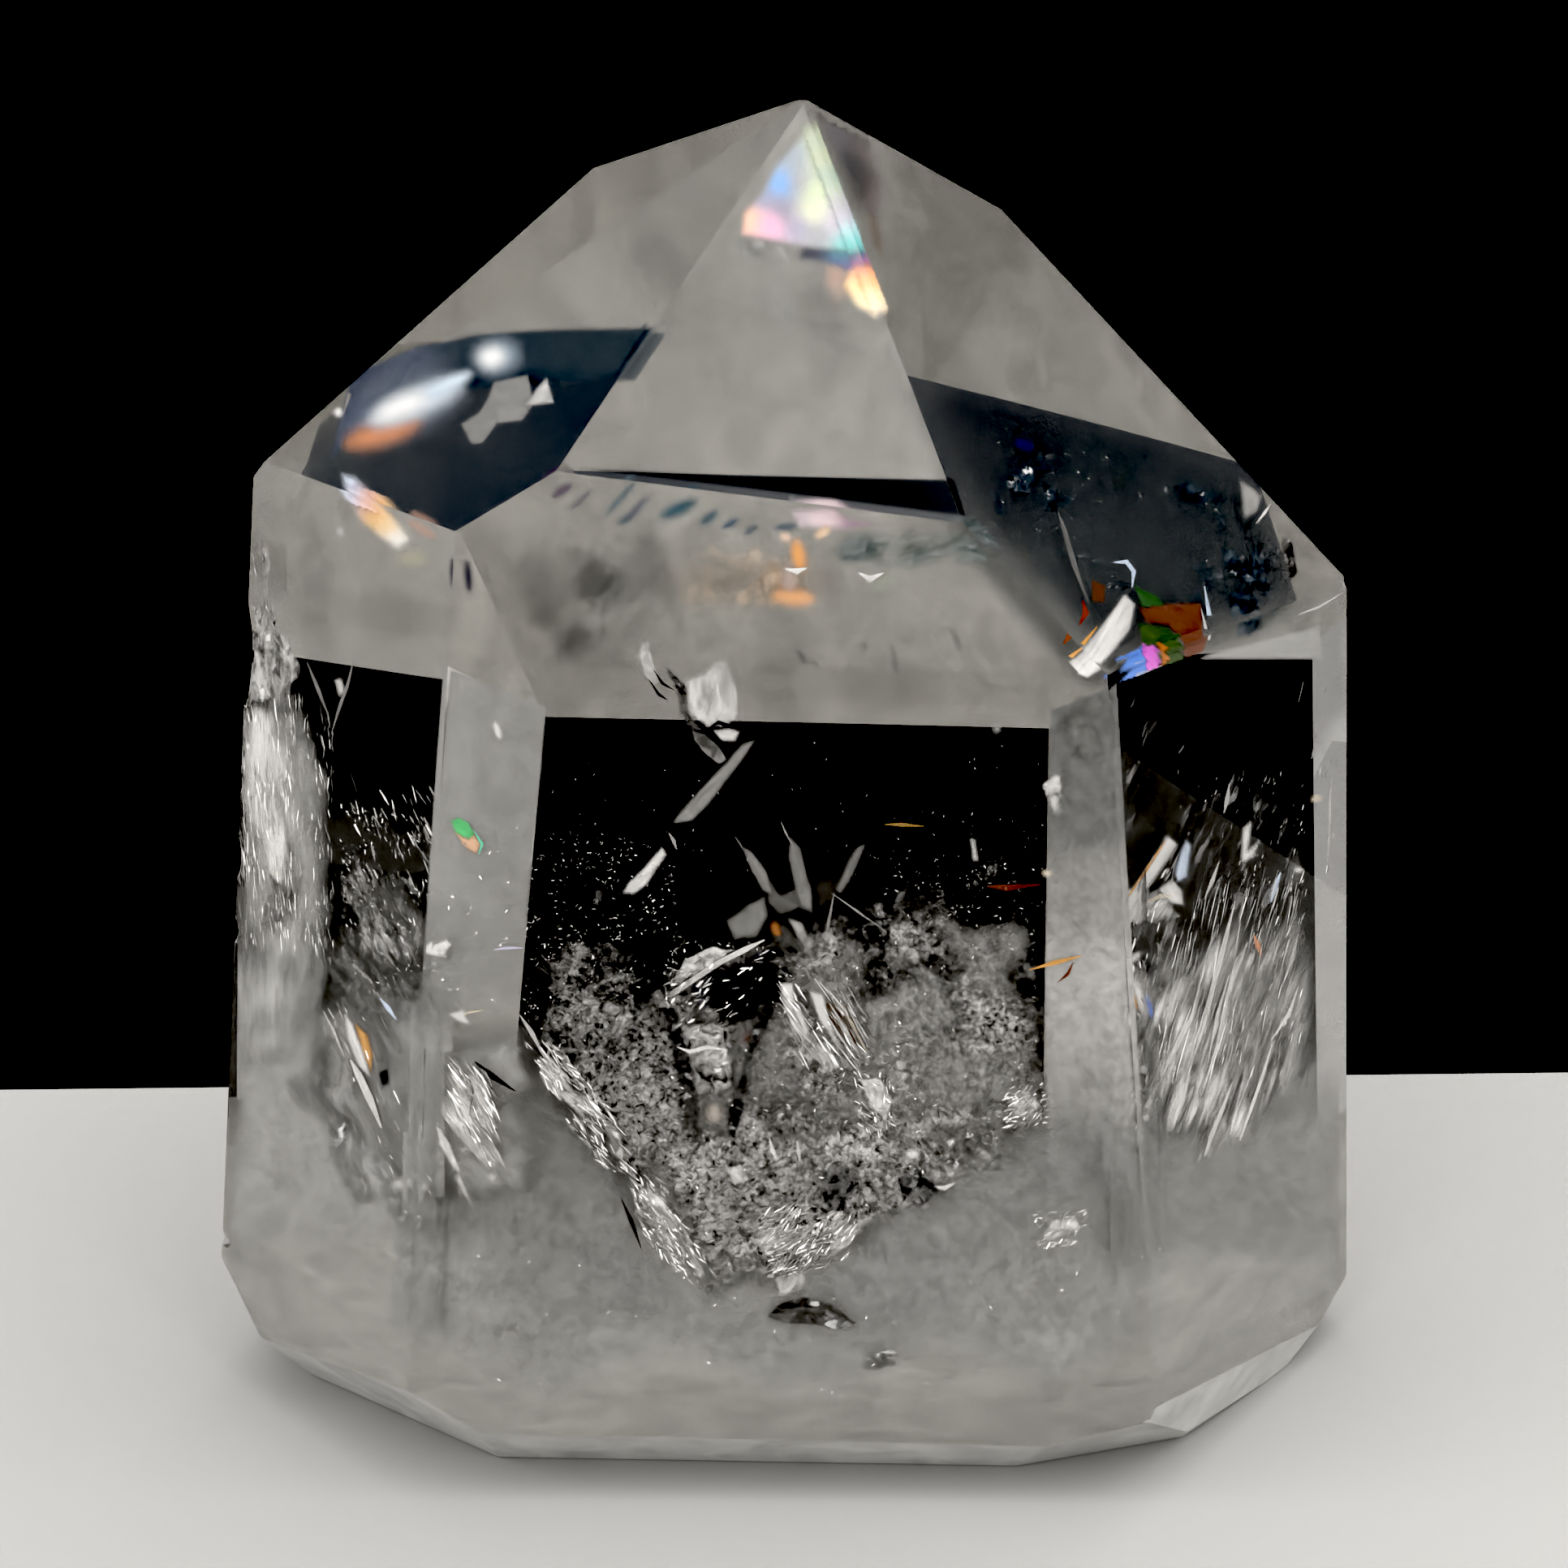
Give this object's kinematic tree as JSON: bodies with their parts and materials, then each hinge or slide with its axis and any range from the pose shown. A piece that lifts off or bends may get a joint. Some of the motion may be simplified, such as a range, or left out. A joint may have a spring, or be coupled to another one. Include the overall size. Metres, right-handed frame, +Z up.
{
  "type": "crackle quartz tower",
  "caption": "Stubby clear quartz point with flat ground walls, a faceted tip and a flat base, crackled inside, to stand on a shelf or desk.",
  "frame": {"origin": "middle of the outline's box, on the flat base", "axes": "+Z up to the tip, -Y out of the wide front wall, +X to the stone's right as seen from the front"},
  "size_m": [0.0472, 0.0364, 0.0549],
  "materials": {
    "clear_quartz": "polished, clear and near colourless, with white and silvery crackle inside and a finely ground base"
  },
  "bodies": {
    "root": {"quartz_tower": "clear_quartz"}
  },
  "joints": []
}
